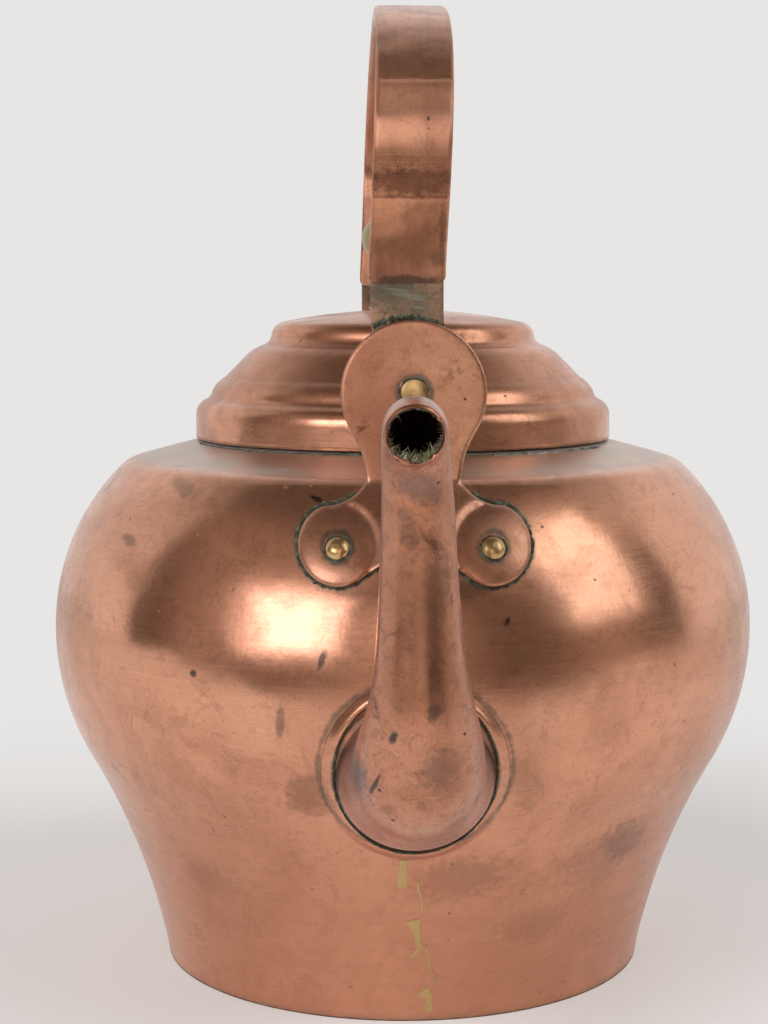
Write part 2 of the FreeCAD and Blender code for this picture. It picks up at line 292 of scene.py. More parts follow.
# Rounded upper edge of a plate: shares of the bevel inwards and of the drop down
ROUNDING = ((0, 1), (0.04, 0.72), (0.12, 0.5), (0.28, 0.28), (0.5, 0.12), (0.75, 0.03), (1, 0))


def plate(loop, hole, thickness, place, bevel, drop, pitch):
    """Plate with soft edges between a closed outline and a hole. place(x, z, height) puts it in space."""
    rims = [(0.35, 0.0), (0.0, 0.35)]
    rims += [(bevel * inset, thickness - drop * under) for inset, under in ROUNDING]
    verts, faces, rows = [], [], []
    for inset, height in rims:
        rows.append(len(verts))
        verts += [place(x, z, height) for x, z in offset(loop, inset, True)]
    n = len(loop)
    for a, b in zip(rows, rows[1:]):
        faces += [(a + i, a + (i + 1) % n, b + (i + 1) % n, b + i) for i in range(n)]
    for inset, height, flip in ((0.35, 0.0, True), (bevel, thickness, False)):
        flat, triangles = fill(offset(loop, inset, True), hole, pitch)
        base = len(verts)
        verts += [place(x, z, height) for x, z in flat]
        faces += [tuple(base + k for k in (f[::-1] if flip else f)) for f in triangles]
    base, m = len(verts), len(hole)
    verts += [place(x, z, h) for h in (0.0, thickness) for x, z in hole]
    faces += [(base + i, base + (i + 1) % m, base + m + (i + 1) % m, base + m + i) for i in range(m)]
    return verts, faces


def circle(x, z, r, count):
    """Closed polyline round a point, clockwise."""
    turns = [-math.tau * i / count for i in range(count)]
    return [(x + r * math.cos(t), z + r * math.sin(t)) for t in turns]


def ribbon(points, ways, width, height, seed, lumps):
    """Crusty bead along points on a surface. ways are the outward directions there."""
    verts = []
    count = len(points)
    for i, (p, out) in enumerate(zip(points, ways)):
        p, out = Vector(p), Vector(out).normalized()
        along = Vector(points[min(i + 1, count - 1)]) - Vector(points[max(i - 1, 0)])
        across = along.cross(out).normalized()
        swell = 0.75 + 0.7 * noise.noise(p / lumps + Vector((seed, 0, 0)))
        for k in range(7):
            t = (k - 3) / 3
            bump = noise.noise(p / 0.7 + Vector((seed, t * 2, 5)))
            lift = height * (1 - t * t) * (0.8 + 0.8 * bump) * swell
            verts.append(tuple(p + across * (t * width * swell * (1 + 0.5 * bump)) + out * (lift - 0.06)))
        verts.append(tuple(p - out * 0.25))
    return verts, grid_faces(count, 8, False, True)


def rotated(verts, matrix):
    """The vertices moved by a 4 x 4 matrix."""
    return [tuple(matrix @ Vector(v)) for v in verts]


def facing(out, place):
    """Matrix that puts +Z along out and the origin at place."""
    return Matrix.Translation(Vector(place)) @ Vector(out).to_track_quat("Z", "Y").to_matrix().to_4x4()


# ---------------------------------------------------------------- materials

class Nodes:
    """A node tree, with short ways to add what the materials and the room need."""

    def __init__(self, tree):
        self.nodes, self.links = tree.nodes, tree.links

    def feed(self, source, socket):
        """Links a socket to the source, or gives it the source's value."""
        if isinstance(source, bpy.types.NodeSocket):
            self.links.new(source, socket)
        else:
            socket.default_value = source

    def add(self, kind, inputs=(), **settings):
        """A new node with its settings, and its inputs as pairs of name or number and source."""
        node = self.nodes.new("ShaderNode" + kind)
        for name, value in settings.items():
            setattr(node, name, value)
        for name, source in inputs:
            self.feed(source, node.inputs[name])
        return node

    def sum(self, operation, a, b=0.0, clamp=False):
        return self.add("Math", ((0, a), (1, b)), operation=operation, use_clamp=clamp).outputs[0]

    def times(self, a, b, clamp=False):
        return self.sum("MULTIPLY", a, b, clamp)

    def total(self, *terms):
        out = terms[0]
        for term in terms[1:]:
            out = self.sum("ADD", out, term)
        return out

    def span(self, value, low, high, a=0.0, b=1.0):
        """Goes smoothly from a to b as the value goes from low to high."""
        return self.add("MapRange", (("Value", value), ("From Min", low), ("From Max", high), ("To Min", a),
                                     ("To Max", b)), interpolation_type="SMOOTHSTEP").outputs["Result"]

    def mix(self, share, a, b, kind="MIX"):
        return self.add("Mix", (("Factor", share), ("A", a), ("B", b)), data_type="RGBA",
                        blend_type=kind).outputs["Result"]

    def vector(self, operation, a, b=(0, 0, 0)):
        node = self.add("VectorMath", ((0, a), (1, b)), operation=operation)
        return node.outputs["Value" if operation in ("LENGTH", "DOT_PRODUCT") else "Vector"]


class Tree(Nodes):
    """Node tree of one material."""

    def __init__(self, name):
        self.material = bpy.data.materials.new(name)
        self.material.use_nodes = True
        super().__init__(self.material.node_tree)
        self.shader = self.nodes["Principled BSDF"]
        self.place = self.add("TexCoord").outputs["Object"]

    def surface(self, **sources):
        """Feeds the shader's inputs, named with _ for a space."""
        for name, source in sources.items():
            self.feed(source, self.shader.inputs[name.replace("_", " ")])

    def stretch(self, scale, turn=(0, 0, 0), shift=(0, 0, 0)):
        return self.add("Mapping", (("Vector", self.place), ("Scale", scale), ("Rotation", turn),
                                    ("Location", shift))).outputs[0]

    def noise(self, scale, detail=3.0, rough=0.5, twist=0.0, at=None):
        return self.add("TexNoise", (("Vector", at or self.place), ("Scale", scale), ("Detail", detail),
                                     ("Roughness", rough), ("Distortion", twist))).outputs["Fac"]

    def height(self):
        return self.add("SeparateXYZ", ((0, self.place),)).outputs["Z"]

    def corner(self, distance):
        """1 in the open, less where something stands within the distance."""
        return self.add("AmbientOcclusion", (("Distance", distance),), samples=4).outputs["AO"]

    def relief(self, *heights):
        """Bump from heights in millimetres."""
        bump = self.add("Bump", (("Distance", MM), ("Strength", 1.0), ("Height", self.total(*heights))))
        self.surface(Normal=bump.outputs[0])

    def ragged(self, scale, size):
        """Noise about zero that makes an edge ragged."""
        return self.times(self.sum("SUBTRACT", self.noise(scale, 4.0, 0.7), 0.5), size)

    def soft_patch(self, place, half, turn, strength):
        """Soft ragged patch: its place, half sizes and turn about Y, in millimetres and degrees."""
        away = self.vector("SUBTRACT", self.place, tuple(MM * c for c in place))
        node = self.add("Mapping", (("Vector", away), ("Scale", tuple(MM * c for c in half)),
                                    ("Rotation", (0, math.radians(turn), 0))), vector_type="TEXTURE")
        size = self.vector("LENGTH", node.outputs[0])
        return self.times(self.span(self.total(size, self.ragged(420.0, 1.5)), 0.45, 1.15, 1, 0), strength)

    def halo(self, place, radius, width, strength):
        """Soft ragged ring seen along Y: its centre, radius and width in millimetres."""
        away = self.vector("SUBTRACT", self.place, tuple(MM * c for c in place))
        size = self.vector("LENGTH", self.vector("MULTIPLY", away, HALO_REACH))
        off = self.sum("ABSOLUTE", self.sum("SUBTRACT", size, radius))
        return self.times(self.span(self.total(off, self.ragged(260.0, 2.4 * width)), 0.0, width, 1, 0),
                          strength)

    def lines(self, scale, turn, shift):
        """Thin wandering lines along the stretched way, as 0 to 1."""
        wave = self.noise(1.0, 2.0, 0.45, at=self.stretch(scale, turn, shift))
        return self.span(self.sum("ABSOLUTE", self.sum("SUBTRACT", wave, 0.5)), 0.0, 0.006, 1.0, 0.0)


def darker(colour, share):
    """The colour at a share of its brightness."""
    return tuple(share * c for c in colour[:3]) + (1,)


HALO_REACH = (1000.0, 250.0, 1045.0)  # metres to millimetres, with less of the depth, as seen from the front
COPPER = (0.830, 0.415, 0.265, 1)
BROWN = (0.520, 0.232, 0.138, 1)
DEEP = (0.300, 0.150, 0.100, 1)
TARNISH = (0.30, 0.145, 0.090, 1)
RUSSET = (0.30, 0.145, 0.095, 1)
SCRATCH = (0.93, 0.70, 0.55, 1)
# Pale grey painted above the shoulder as a reflection of the backdrop.
PAINTED_BACKDROP_REFLECTION = (0.66, 0.58, 0.51, 1)
MOSS = (0.120, 0.130, 0.090, 1)
SOOT = (0.14, 0.13, 0.10, 1)
# Near-black for specks, and for the grime with painted shade in corners.
GRIME_AND_SHADE = (0.030, 0.026, 0.016, 1)
VERDIGRIS = (0.085, 0.125, 0.075, 1)
# Default dark colour of stains, also used for the painted shade at the strap's lower end.
SMOKE_AND_SHADE = (0.085, 0.070, 0.066, 1)


def metal(name, bright, dull, polished, satin=0.4, blotches=0.5, streaks=0.5, scratches=0.5, specks=0.5,
          corner_grime_and_shade=1.0, dirt=0.0, change=None, pits=0.012, brushed=(26, 26, 950), reach=0.004, haze=0.10,
          stains_and_shade=(), halos=(), shoulder=None, mottle=0.22):
    """Hand-worked metal that has been used and cleaned.

    bright and dull are the clean and tarnished colours, polished the roughness, and satin the roughness
    below the heights in change, where the polish ends. The amounts go from 0 to 1: blotches of tarnish,
    streaks along the brushed way, scratches, specks, darkening with painted shade in corners within reach,
    dirt and mottle. A stain or patch of painted shade, or a halo, is what Tree's methods take, with a colour
    if it isn't SMOKE_AND_SHADE. A painted pale reflection of the backdrop lies above shoulder.
    """
    t = Tree(name)
    cloud = t.noise(9.0, 4.0, 0.6, 0.3)
    blotch = t.noise(34.0, 5.0, 0.62, 0.6)
    streak = t.noise(1.0, 4.0, 0.62, at=t.stretch(brushed))
    hair = t.noise(1.0, 3.0, 0.6, at=t.stretch(tuple(4.5 * s for s in brushed)))

    tone = t.times(t.span(t.total(cloud, blotch), 0.78, 1.22), blotches)
    colour = t.mix(tone, bright, dull)
    colour = t.mix(t.times(t.span(streak, 0.36, 0.72), 0.16 * streaks), colour, darker(dull, 0.45))
    soft_patch = t.times(t.span(t.noise(52.0, 5.0, 0.66, 1.2), 0.60, 0.72), dirt)
    colour = t.mix(soft_patch, colour, darker(dull, 0.35))
    fine = t.total(t.times(t.span(t.noise(1250.0, 4.0, 0.7), 0.42, 0.66), 0.6 * mottle),
                   t.times(t.span(t.noise(155.0, 8.0, 0.78, 0.8), 0.50, 0.62), mottle))
    colour = t.mix(fine, colour, darker(dull, 0.5))
    for place, size, turn, strength, *other in stains_and_shade:
        colour = t.mix(t.soft_patch(place, size, turn, strength), colour, other[0] if other else SMOKE_AND_SHADE)
    for place, radius, width, strength, tint in halos:
        colour = t.mix(t.halo(place, radius, width, strength), colour, tint)

    cells = t.add("TexVoronoi", (("Vector", t.place), ("Scale", 260.0)))
    draw = t.add("SeparateColor", ((0, cells.outputs["Color"]),)).outputs[0]
    inner = t.sum("SUBTRACT", t.span(draw, 0.86, 1.0, 0.0, 0.20), cells.outputs["Distance"])
    speck = t.times(t.span(inner, 0.0, 0.05), min(1.0, 0.9 * specks))
    colour = t.mix(speck, colour, GRIME_AND_SHADE)

    marks = t.sum("MAXIMUM", t.lines((5, 42, 300), (0.2, 0.5, 0.3), (3, 1, 2)),
                  t.lines((60, 9, 260), (0.9, 0.3, 1.2), (1, 5, 3)))
    mark = t.times(marks, t.span(t.noise(16.0, 2.0), 0.45, 0.65))
    colour = t.mix(t.times(mark, 0.30 * scratches), colour, SCRATCH)

    # Grime and painted shade: where ambient occlusion finds other surfaces close by, the colour is darkened
    # towards near-black grime or verdigris, and the metal is made rougher and less metallic there.
    closed = t.span(t.corner(reach), 0.86, 0.30)
    grime_and_shade = t.times(t.times(closed, t.span(t.noise(300.0, 3.0, 0.7), 0.30, 0.62, 0.45, 1.0)), corner_grime_and_shade, True)
    colour = t.mix(grime_and_shade, colour, t.mix(t.span(t.noise(140.0, 3.0, 0.6), 0.42, 0.60), GRIME_AND_SHADE, VERDIGRIS))

    rough = t.total(t.span(streak, 0.30, 0.75, polished, polished + 0.05),
                    t.times(t.span(t.total(cloud, blotch), 0.80, 1.20), 0.05))
    if change:
        level = t.total(t.height(), t.times(t.sum("SUBTRACT", cloud, 0.5), 0.05))
        share = t.span(level, change[0], change[1], 1.0, 0.0)
        colour = t.mix(t.times(share, 0.5), colour, dull)
        satin_part = t.span(streak, 0.30, 0.75, satin - 0.04, satin + 0.08)
        rough = t.add("Mix", ((0, share), (2, rough), (3, satin_part))).outputs[0]
    # Painted reflection: above the shoulder height the colour turns pale grey, as the backdrop would mirror
    # there; the roughness rises too.
    if shoulder:
        over = t.span(t.height(), shoulder, shoulder + 0.002)
        rough = t.total(rough, t.times(over, 0.14))
        colour = t.mix(t.times(over, t.span(blotch, 0.35, 0.65, 0.65, 1.0)), colour, PAINTED_BACKDROP_REFLECTION)
    rough = t.total(rough, t.times(tone, 0.10), t.times(soft_patch, 0.14), t.times(grime_and_shade, 0.40),
                    t.times(speck, 0.3))

    t.surface(Sheen_Weight=haze, Sheen_Roughness=0.35, Base_Color=colour,
              Roughness=t.sum("MINIMUM", rough, 0.95),
              Metallic=t.total(1.0, t.times(grime_and_shade, -0.9), t.times(speck, -0.8)))
    t.relief(t.times(t.noise(150.0), 0.035), t.times(t.noise(620.0, 3.0, 0.6), pits),
             t.times(hair, 0.0016 * streaks), t.times(mark, -0.010 * scratches), t.times(speck, -0.04),
             t.times(t.times(grime_and_shade, t.noise(900.0, 3.0, 0.7)), 0.12))
    return t.material


def crust(name, dark, pale):
    """Dry mineral crust: matt, grainy, in two colours."""
    t = Tree(name)
    fine = t.noise(900.0, 4.0, 0.7)
    colour = t.mix(t.span(t.noise(380.0, 4.0, 0.65), 0.45, 0.62), dark, pale)
    t.surface(Base_Color=t.mix(t.span(fine, 0.45, 0.7, 0.0, 0.6), colour, darker(dark, 0.3)),
              Roughness=t.span(fine, 0.3, 0.7, 0.72, 0.95))
    t.relief(t.times(fine, 0.12), t.times(t.noise(380.0), 0.2))
    return t.material


# A stain or patch of painted shade is its place, half sizes, turn, strength and colour.
BODY_STAINS = [
    ((-31, -104, 80), (9, 16, 9), 25, 0.7, TARNISH), ((14, -97, 50), (18, 16, 9), -10, 0.6, TARNISH),
    ((-62, -70, 42), (14, 16, 7), 10, 0.4, TARNISH), ((40, -85, 30), (16, 16, 8), 0, 0.45, TARNISH),
    ((33, -105, 84), (6, 16, 12), -15, 0.4, TARNISH), ((-10, -100, 12), (22, 16, 5), 0, 0.45, TARNISH),
    ((-27.4, -116.5, 122), (1.1, 9, 3.6), 20, 0.8), ((-39.8, -112.3, 102.8), (1.5, 9, 6), 4, 0.5),
    ((-66.1, -100.2, 114.9), (1.2, 9, 1.3), 0, 0.9), ((68.3, -73.2, 55.4), (10, 22, 9), 40, 0.5),
    ((60, -80, 50), (14, 22, 12), 20, 0.3), ((-88.1, -67.4, 151.2), (3.5, 14, 2), 25, 0.5),
    ((-28.9, -95.4, 166.9), (2.2, 6, 0.9), 20, 0.95), ((26.6, -114.9, 132.7), (0.9, 6, 1.6), 20, 0.9),
    ((-20, -114, 142), (9, 9, 2.5), 10, 0.25), ((17, -114, 142), (8, 9, 3), -10, 0.35),
    ((-71, -69, 168), (7, 12, 3), 30, 0.4), ((0, 100, 60), (26, 40, 16), 25, 0.45),
    ((96, 30, 140), (6, 14, 9), 0, 0.4), ((-100, 40, 80), (14, 18, 10), 30, 0.4)]
SPOUT_STAINS = [
    ((-8, -158, 109.4), (1.5, 9, 2.4), 15, 0.95), ((-12.9, -152.5, 94), (0.7, 12, 5.2), 22, 0.9),
    ((2.6, -162, 116.3), (2.6, 9, 3), 10, 0.7),
    ((-1.3, -168, 177.7), (9, 9, 5), 20, 0.6, (0.12, 0.095, 0.095, 1)),
    ((-16.8, -140, 95.5), (4.5, 14, 9), 0, 0.9, (0.12, 0.105, 0.115, 1)),
    ((-3, -181, 203.5), (10, 7, 4), 0, 0.7, (0.42, 0.35, 0.32, 1)),
    ((3, -155, 79), (9, 12, 2.6), 0, 0.5, (0.55, 0.44, 0.24, 1)), ((5, -160, 100), (6, 12, 7), 30, 0.4),
    ((4, -166, 150), (5, 9, 14), 5, 0.35), ((0.5, -165, 143), (5.5, 11, 28), 0, 0.45, RUSSET),
    ((7, -160, 98), (8, 12, 9), 25, 0.35, RUSSET), ((-4, -165, 165), (3, 8, 9), -10, 0.45)]
HANDLE_STAINS_AND_SHADE = [
    # Painted reflection: a dark band across the strap near 260 mm high, where its curve would mirror
    # something dark.
    ((-1, -99, 260.3), (16, 9, 5.0), 0, 0.9, (0.24, 0.11, 0.068, 1)),
    # Painted shade at the strap's lower end, above the tongue.
    ((-2, -95, 231.5), (13, 9, 2.2), 0, 0.7),
    ((8.5, -97, 247), (1.3, 9, 8), 0, 0.5), ((7, -97, 238), (3, 9, 3), 0, 0.4),
    ((4.0, -97, 278.7), (0.6, 9, 0.8), 0, 0.9), ((4.0, -97, 275.7), (0.4, 9, 0.5), 0, 0.9),
    ((-4.9, -99, 264.8), (0.4, 9, 0.4), 0, 0.8), ((-5.0, -99, 263), (0.4, 9, 0.4), 0, 0.8)]
EAR_MARKS = ((0, 227.5, 6, 0.9), (2.5, 226.3, 3.5, 0.6), (-3, 229, 5, 0.5), (3.5, 223.8, 3, 0.5))
EAR_STAINS = [((-1.9, side * 94, 226.0), (9.5, 9, 7), 0, 0.55, MOSS) for side in (-1, 1)]
EAR_STAINS += [((-1.9 + x, side * 94, z), (wide, 9, high), 8, 0.75, (0.26, 0.29, 0.235, 1))
               for side in (-1, 1) for x, z, wide, high in EAR_MARKS]

# A halo is its place, radius, width, strength and colour.
BODY_HALOS = [((0, -112, 89.2), 28.9, 1.4, 0.7, (0.16, 0.115, 0.09, 1)),
              ((0, -112, 87.4), 24.8, 0.6, 0.8, MOSS)]
BRACKET_HALOS = []
for side in (-1, 1):
    BODY_HALOS += [((x, side * 109, LOBE_Z), LOBE_R + 0.7, 1.5, 0.5, (0.10, 0.095, 0.075, 1))
                   for x in (-LOBE_X, LOBE_X)]
    BRACKET_HALOS.append(((0, side * 97.6, PIVOT_Z), 5.0, 1.5, 0.8, SOOT))
    BRACKET_HALOS += [((1.02 * x, side * 112, RIVET_Z + 1.7), 4.5, 1.5, 0.8, SOOT)
                      for x in (-RIVET_X, RIVET_X)]

body_copper = metal("body_copper", COPPER, BROWN, 0.155, 0.30, 0.60, 0.35, 0.8, 0.6, dirt=0.3,
                    change=(0.030, 0.085), haze=0.15, stains_and_shade=BODY_STAINS, halos=BODY_HALOS,
                    shoulder=FOLD_Z * MM)
neck_copper = metal("neck_copper", BROWN, DEEP, 0.30, blotches=0.8, streaks=0.4, scratches=0.4, specks=0.6,
                    dirt=0.6)
lid_copper = metal("lid_copper", COPPER, BROWN, 0.18, blotches=0.8, streaks=0.4, scratches=0.7, specks=0.6,
                   dirt=0.6, reach=0.006, haze=0.14)
spout_copper = metal("spout_copper", (0.70, 0.335, 0.212, 1), BROWN, 0.18, blotches=1.0, streaks=0.2,
                     scratches=0.8, specks=1.0, corner_grime_and_shade=0.6, dirt=1.0, brushed=(120, 120, 60), reach=0.0012,
                     haze=0.25, stains_and_shade=SPOUT_STAINS, mottle=0.45)
bracket_copper = metal("bracket_copper", (0.67, 0.35, 0.23, 1), BROWN, 0.28, blotches=0.9, streaks=0.1,
                       scratches=0.7, specks=1.0, dirt=0.8, pits=0.05, brushed=(90, 90, 300),
                       halos=BRACKET_HALOS, mottle=0.32)
handle_copper = metal("handle_copper", (0.86, 0.43, 0.27, 1), (0.42, 0.19, 0.115, 1), 0.36, blotches=0.65,
                      scratches=0.9, specks=0.6, dirt=0.6, pits=0.015, brushed=(700, 40, 40), haze=0.2,
                      stains_and_shade=HANDLE_STAINS_AND_SHADE)
ear_copper = metal("ear_copper", (0.62, 0.36, 0.24, 1), (0.17, 0.165, 0.125, 1), 0.36, blotches=1.0,
                   streaks=0.3, specks=1.0, dirt=0.6, pits=0.08, stains_and_shade=EAR_STAINS, mottle=0.5)
base_copper = metal("base_copper", BROWN, DEEP, 0.36, blotches=0.8, streaks=0.4, scratches=0.8, specks=1.0,
                    dirt=0.8)
rivet_brass = metal("rivet_brass", (0.78, 0.54, 0.26, 1), (0.50, 0.33, 0.15, 1), 0.20, blotches=0.7,
                    streaks=0.1, scratches=0.8, dirt=0.4, pits=0.03, brushed=(200, 200, 200), reach=0.0012)
knob_brass = metal("knob_brass", (0.46, 0.38, 0.20, 1), (0.28, 0.22, 0.11, 1), 0.26, blotches=0.8,
                   streaks=0.3, specks=0.8, dirt=0.8)
tinned = metal("tinned_copper", (0.52, 0.50, 0.47, 1), (0.30, 0.27, 0.24, 1), 0.34, blotches=0.8,
               streaks=0.4, scratches=0.6, specks=0.8, dirt=0.5)
solder = metal("tin_solder", (0.50, 0.49, 0.46, 1), (0.28, 0.27, 0.25, 1), 0.42, blotches=0.8, streaks=0.0,
               scratches=0.4, specks=1.0, corner_grime_and_shade=0.5, dirt=0.7, pits=0.06)
braze = metal("seam_brass", (0.66, 0.46, 0.21, 1), (0.52, 0.35, 0.15, 1), 0.30, blotches=0.8, streaks=0.3,
              specks=0.4, corner_grime_and_shade=0.2, dirt=0.2)
green_crust = crust("verdigris_crust", (0.040, 0.043, 0.028, 1), (0.120, 0.145, 0.098, 1))
pale_crust = crust("pale_crust", (0.10, 0.105, 0.075, 1), (0.27, 0.285, 0.21, 1))
white_crust = crust("mineral_crust", (0.24, 0.25, 0.12, 1), (0.52, 0.53, 0.36, 1))

# The strap is ground lengthwise, so its reflections spread across it.
strap = Nodes(handle_copper.node_tree)
strap_shader = strap.nodes["Principled BSDF"]
strap_shader.inputs["Anisotropic"].default_value = 0.975
strap_shader.inputs["Anisotropic Rotation"].default_value = 0.25
strap.feed(strap.add("Tangent", direction_type="RADIAL", axis="X").outputs[0], strap_shader.inputs["Tangent"])


# ---------------------------------------------------------------- body

def body_sink(point):
    """Dents of the body, none at the neck and the foot."""
    fade = min(1.0, max(0.0, (math.hypot(point[0], point[1]) - 70) / 10), max(0.0, point[2] / 6))
    return dent(point) * fade


def cut_round(obj, radius, start, end):
    """Cuts a round hole along a line into a sheet."""
    mesh = bpy.data.meshes.new("hole")
    maker = bmesh.new()
    way = end - start
    bmesh.ops.create_cone(maker, cap_ends=True, segments=96, radius1=radius * MM, radius2=radius * MM,
                          depth=way.length * MM, matrix=facing(way, (0, 0, 0)))
    maker.to_mesh(mesh)
    maker.free()
    cutter = bpy.data.objects.new("hole", mesh)
    cutter.location = (start + end) / 2 * MM
    bpy.context.scene.collection.objects.link(cutter)
    change = obj.modifiers.new("hole", "BOOLEAN")
    change.operation = "DIFFERENCE"
    change.object = cutter
    change.solver = "EXACT"
    bpy.context.view_layer.update()
    graph = bpy.context.evaluated_depsgraph_get()
    made = bpy.data.meshes.new_from_object(obj.evaluated_get(graph))
    obj.modifiers.clear()
    obj.data = made
    bpy.data.objects.remove(cutter)


verts, faces = sheet_lathe(body_line, WALL, BODY_TURNS, body_sink)
body = piece("body_sheet", verts, faces, BODY, body_copper, ["body_shell"], sharp=50)
cut_round(body, SPOUT_HOLE_R, SPOUT_ROOT - SPOUT_WAY * 30, SPOUT_ROOT + SPOUT_WAY * 30)
body.data.materials.clear()
body.data.materials.append(body_copper)

FILLET = 2.1
neck_low = FOLD_Z + (FOLD_R - NECK_R) * SHOULDER_RISE
bead = []
for j in range(BODY_TURNS):
    turn = math.tau * j / BODY_TURNS
    s, c = math.sin(turn), -math.cos(turn)
    lump = 0.55 + 0.9 * abs(noise.noise(Vector((s * 5, c * 5, 2))))
    lump += 0.35 * noise.noise(Vector((s * 22, c * 22, 4)))
    for k in range(7):
        a = k / 6
        r = NECK_R + FILLET * lump * (1 - a) ** 1.3
        z = neck_low + FILLET * lump * a ** 1.3 - (r - NECK_R) * SHOULDER_RISE * (1 - a)
        bead.append((r * s, r * c, z - 0.02))
    bead.append(((NECK_R - 0.1) * s, (NECK_R - 0.1) * c, neck_low - 0.5))
piece("neck_solder_bead", bead, grid_faces(BODY_TURNS, 8, True, True), BODY, solder,
      ["neck_solder"], sharp=60)


# ---------------------------------------------------------------- lid and knob

lid_line = outline((LID_R - 0.25, LID_BOTTOM), (LID_R, LID_BOTTOM + 0.4), (LID_R, 187.3),
                   (70.7, 189.5, 68.4, 191.8), (66.6, 193.0, 65.7, 194.9), (64.2, 197.3, 61.2, 199.7),
                   (53.6, 207.4), (51.4, 209.1, 48.6, 210.5), (46.3, 211.8, 45.3, 213.9),
                   (44.2, 216.6, 41.2, 218.5), (21.0, 221.6, 0.0, LID_TOP), step=1.0)


def lid_sink(point):
    """Dents of the lid, none under the knob."""
    fade = min(1.0, max(0.0, (math.hypot(point[0], point[1]) - 12) / 10))
    return dent(point, 0.14, 19.0) * fade


verts, faces = sheet_lathe(lid_line, LID_T, 240, lid_sink)
piece("lid_sheet", verts, faces, LID, lid_copper, ["lid_shell"], sharp=50)

low, top = KNOB_Z - KNOB_H / 2, KNOB_Z + KNOB_H / 2
knob_line = outline((0.0, LID_TOP + 3.0), (6.0, LID_TOP + 3.0), (6.2, LID_TOP + 3.3),
                    (4.4, LID_TOP + 6.0, 4.6, low - 4.0), (5.6, low - 1.2, 8.6, low + 1.6),
                    (12.9, low + 4.2, KNOB_R, KNOB_Z), (13.2, KNOB_Z + 3.4, 10.6, top - 2.0),
                    (5.5, top - 0.5, 0.0, top), step=0.7)
verts, faces = lathe(knob_line, 96, False)
piece("lid_knob_ball", verts, faces, LID, knob_brass, ["lid_knob"], sharp=45)

rose_line = outline((2.5, LID_TOP - 0.1), (10.5, LID_TOP - 0.9), (11.6, LID_TOP + 0.7, 10.8, LID_TOP + 1.4),
                    (8.0, LID_TOP + 1.9, 6.6, LID_TOP + 3.0), (2.5, LID_TOP + 3.0), step=0.5)
verts, faces = lathe(rose_line[:-1], 96, True)
piece("knob_rose", verts, faces, LID, knob_brass, ["knob_base"], sharp=45)


# ---------------------------------------------------------------- spout

def spout_across(along):
    """Two directions across the spout: to its right and towards its lower side."""
    right = Vector((1, 0, 0))
    return right, Vector(along).cross(right).normalized() * -1


def wall_level(point):
    """How far a point lies outside the body's wall, level with it."""
    return math.hypot(point.x, point.y) - wall_radius(point.z)


SPOUT_STEPS = 400
FOOT_ROWS = 24
SPOUT_TURNS, SPOUT_ROWS = 112, 190
TUCK, TUCK_END, TUCK_LONG = 2.2, -124.0, 14.0
spout_place, spout_along = spline(SPOUT, SPOUT_STEPS)


def spout_start(a, thinner):
    """First step of the spout whose ring stands outside the body at angle a."""
    for i in range(SPOUT_STEPS):
        right, low = spout_across(spout_along[i][:3])
        out = right * math.sin(a) + low * math.cos(a)
        if wall_level(Vector(spout_place[i][:3]) + out * (spout_place[i][3] - thinner)) > 0.05:
            return i


def spout_point(i, a, thinner):
    """Point of the spout's sheet at step i and angle a, tucked in at the lower side of its foot."""
    steps = range(SPOUT_STEPS)
    spot = [np.interp(i, steps, spout_place[:, q]) for q in range(4)]
    right, low = spout_across([np.interp(i, steps, spout_along[:, q]) for q in range(3)])
    out = right * math.sin(a) + low * math.cos(a)
    centre = Vector(spot[:3])
    wave = 0.0 if thinner else noise.noise((centre + out * 20) / 21.0) * 0.28
    near = min(1.0, max(0.0, (centre.y - TUCK_END) / TUCK_LONG))
    tuck = TUCK * (0.5 + 0.5 * math.cos(a)) ** 2 * near * near * (3 - 2 * near)
    return centre + out * (spot[3] - thinner - 0.25 - tuck + wave)


def spout_rows(thinner):
    """Rings of the spout from the wall to the mouth, shrunk by a thickness."""
    turns = [math.tau * j / SPOUT_TURNS for j in range(SPOUT_TURNS)]
    starts = [spout_start(a, thinner) for a in turns]
    lead = max(starts) + 12
    rows = [[spout_point(start + (lead - start) * k / FOOT_ROWS, a, thinner)
             for start, a in zip(starts, turns)] for k in range(FOOT_ROWS)]
    last = SPOUT_ROWS - FOOT_ROWS - 1
    rows += [[spout_point(lead + (SPOUT_STEPS - 1 - lead) * k / last, a, thinner) for a in turns]
             for k in range(last + 1)]
    return rows


def spout_mesh():
    """The whole spout as one closed sheet, with a worn rolled lip."""
    outer, inner = spout_rows(0.0), spout_rows(SPOUT_WALL)
    lip = []
    for last, before, within in zip(outer[-1], outer[-2], inner[-1]):
        middle = (last + within) / 2
        lip.append(middle + (last - before).normalized() * (0.45 + 0.25 * noise.noise(middle / 2.0)))
    verts = [tuple(v) for row in outer + [lip] + inner[::-1] for v in row]
    return verts, grid_faces(2 * SPOUT_ROWS + 1, SPOUT_TURNS, True, True)


verts, faces = spout_mesh()
piece("spout_tube", verts, faces, BODY, spout_copper, ["spout"], sharp=60)


def around_spout(rho, a, h):
    """Point h outside the wall, rho from the spout's axis, at angle a from the bottom."""
    right, low = spout_across(SPOUT_WAY)
    start = SPOUT_ROOT + (right * math.sin(a) + low * math.cos(a)) * rho
    near, far = -30.0, 40.0
    for _ in range(40):
        middle = (near + far) / 2
        point = start + SPOUT_WAY * middle
        if math.hypot(point.x, point.y) > wall_radius(point.z) + h * 1.04:
            far = middle
        else:
            near = middle
    return start + SPOUT_WAY * near


def collar_inner(a):
    """Inner radius of the raised ring: at its top it closes in on the spout, which leans away there."""
    return COLLAR_IN + 0.05 - 0.5 * (1 - math.cos(a))


